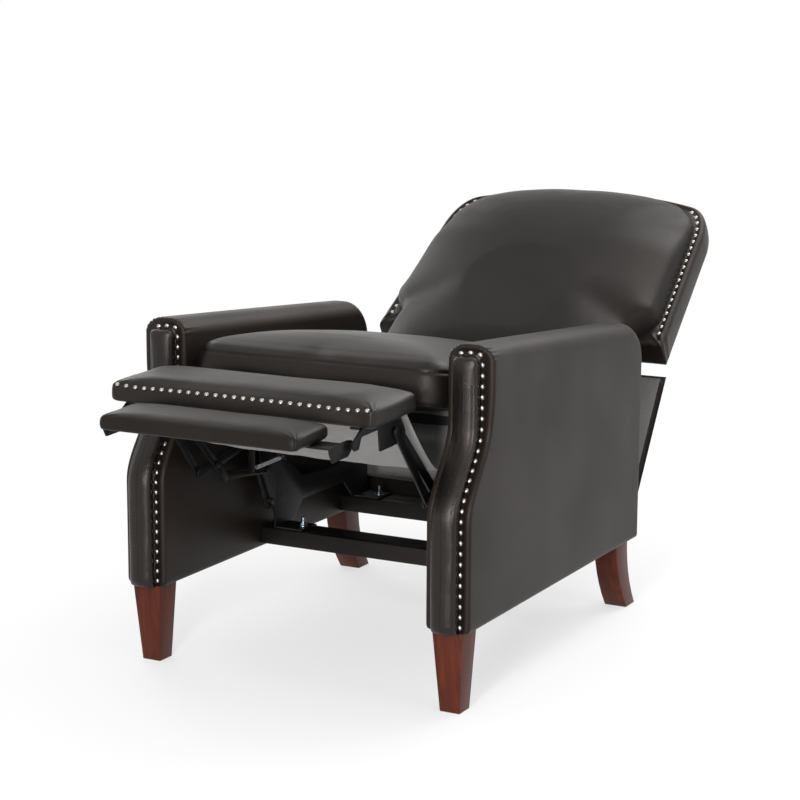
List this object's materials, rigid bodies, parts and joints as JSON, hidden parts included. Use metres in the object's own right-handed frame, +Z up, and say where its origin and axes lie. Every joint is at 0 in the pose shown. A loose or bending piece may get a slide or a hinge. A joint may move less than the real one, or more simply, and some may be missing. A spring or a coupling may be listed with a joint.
{
  "type": "wingback recliner",
  "caption": "Push-back wingback recliner, drawn open: leather arms and wings edged with decorative nails, padded footrest with a flipper board on steel links, turned-out rear legs.",
  "frame": {"origin": "on the floor, under the middle of the whole chair as drawn open", "axes": "+X to the sitter's left, +Y to the back of the chair, +Z up"},
  "size_m": [0.71, 1.6698, 0.8035],
  "materials": {
    "leather": "smooth near-black leather with a satin sheen",
    "timber": "raw pine and plywood, hidden inside the upholstery",
    "mahogany": "satin reddish-brown stain",
    "black_steel": "black baked paint",
    "zinc": "bluish bright zinc plate",
    "pewter": "pale pewter decorative nails",
    "grey_cloth": "grey non-woven lining"
  },
  "bodies": {
    "frame": {"arm_cover_left": "leather", "arm_cover_right": "leather", "arm_frame_left": "timber", "arm_frame_right": "timber", "arm_front_pad_left": "leather", "arm_front_pad_right": "leather", "arm_nail_trim_left": "pewter", "arm_nail_trim_right": "pewter", "front_leg_left": "mahogany", "front_leg_right": "mahogany", "rear_leg_left": "mahogany", "rear_leg_right": "mahogany", "front_cross_rail": "leather", "rear_cross_rail": "leather", "back_cross_rail": "leather", "mechanism_plate_left": "black_steel", "mechanism_plate_right": "black_steel", "rail_bolt_left": "zinc", "rail_bolt_right": "zinc", "footrest_spring_left": "zinc", "footrest_spring_right": "zinc", "flap_hinge": "black_steel"},
    "lift_links": {"lift_link_left": "black_steel", "lift_link_right": "black_steel", "footrest_torque_tube": "black_steel"},
    "drive_links": {"drive_link_left": "black_steel", "drive_link_right": "black_steel"},
    "extension_links": {"extension_link_left": "black_steel", "extension_link_right": "black_steel"},
    "control_links": {"control_link_left": "black_steel", "control_link_right": "black_steel"},
    "footrest": {"footrest_board": "timber", "footrest_pad": "leather", "footrest_bracket_left": "black_steel", "footrest_bracket_right": "black_steel", "footrest_nail_trim": "pewter"},
    "flipper": {"flipper_board": "timber", "flipper_pad": "leather", "flipper_bracket_left": "black_steel", "flipper_bracket_right": "black_steel"},
    "seat": {"seat_cushion": "leather", "seat_board": "timber", "seat_bracket_left": "black_steel", "seat_bracket_right": "black_steel", "footrest_apron": "grey_cloth"},
    "back_links": {"back_link_left": "black_steel", "back_link_right": "black_steel", "back_link_tube": "black_steel"},
    "back": {"back_board": "timber", "outside_back_panel": "leather", "back_cushion": "leather", "wing_pad_left": "leather", "wing_pad_right": "leather", "back_nail_trim_left": "pewter", "back_nail_trim_right": "pewter", "back_bracket_left": "black_steel", "back_bracket_right": "black_steel"},
    "flap": {"rear_flap_lining": "grey_cloth", "rear_flap_panel": "leather"}
  },
  "joints": [
    {"name": "footrest_lift", "type": "hinge", "parent": "frame", "child": "lift_links", "pos_m": [0, -0.23378, 0.4], "axis": [1, 0, 0], "range_deg": [0, 32.85], "deforming": ["footrest_spring_left", "footrest_spring_right", "footrest_apron"]},
    {"name": "extension_pivot", "type": "hinge", "parent": "lift_links", "child": "extension_links", "pos_m": [0, -0.41378, 0.365], "axis": [1, 0, 0], "range_deg": [-70.65, 0]},
    {"name": "footrest_tilt", "type": "hinge", "parent": "extension_links", "child": "footrest", "pos_m": [0, -0.54878, 0.497], "axis": [1, 0, 0], "range_deg": [0, 127.8]},
    {"name": "flipper_fold", "type": "hinge", "parent": "footrest", "child": "flipper", "pos_m": [0, -0.70878, 0.503], "axis": [1, 0, 0], "range_deg": [0, 177.39]},
    {"name": "drive_pivot", "type": "hinge", "parent": "frame", "child": "drive_links", "pos_m": [0, -0.22688, 0.3198], "axis": [1, 0, 0], "range_deg": [0, 39.12]},
    {"name": "control_pivot", "type": "hinge", "parent": "lift_links", "child": "control_links", "pos_m": [0, -0.45942, 0.35613], "axis": [1, 0, 0], "range_deg": [-72.48, 0]},
    {"name": "back_recline", "type": "hinge", "parent": "back_links", "child": "back", "pos_m": [0, 0.24122, 0.32], "axis": [1, 0, 0], "range_deg": [0, 73.15]},
    {"name": "back_link_swing", "type": "hinge", "parent": "frame", "child": "back_links", "pos_m": [0, 0.15622, 0.3], "axis": [1, 0, 0], "range_deg": [-34.75, 0]},
    {"name": "flap_swing", "type": "hinge", "parent": "frame", "child": "flap", "pos_m": [0, 0.26422, 0.158], "axis": [1, 0, 0], "range_deg": [0, 25]},
    {"name": "seat_rock", "type": "hinge", "parent": "frame", "child": "seat", "pos_m": [0, -0.20378, 0.25], "axis": [1, 0, 0], "range_deg": [0, 4]}
  ],
  "couplings": [
    {"joint": "extension_pivot", "follows": "footrest_lift", "ratio": -2.1507},
    {"joint": "footrest_tilt", "follows": "footrest_lift", "ratio": 3.8904},
    {"joint": "flipper_fold", "follows": "footrest_lift", "ratio": 5.4},
    {"joint": "drive_pivot", "follows": "footrest_lift", "ratio": 1.1909},
    {"joint": "control_pivot", "follows": "footrest_lift", "ratio": -2.2064},
    {"joint": "back_link_swing", "follows": "back_recline", "ratio": -0.47505},
    {"joint": "flap_swing", "follows": "back_recline", "ratio": 0.34176},
    {"joint": "seat_rock", "follows": "back_recline", "ratio": 0.05468}
  ]
}
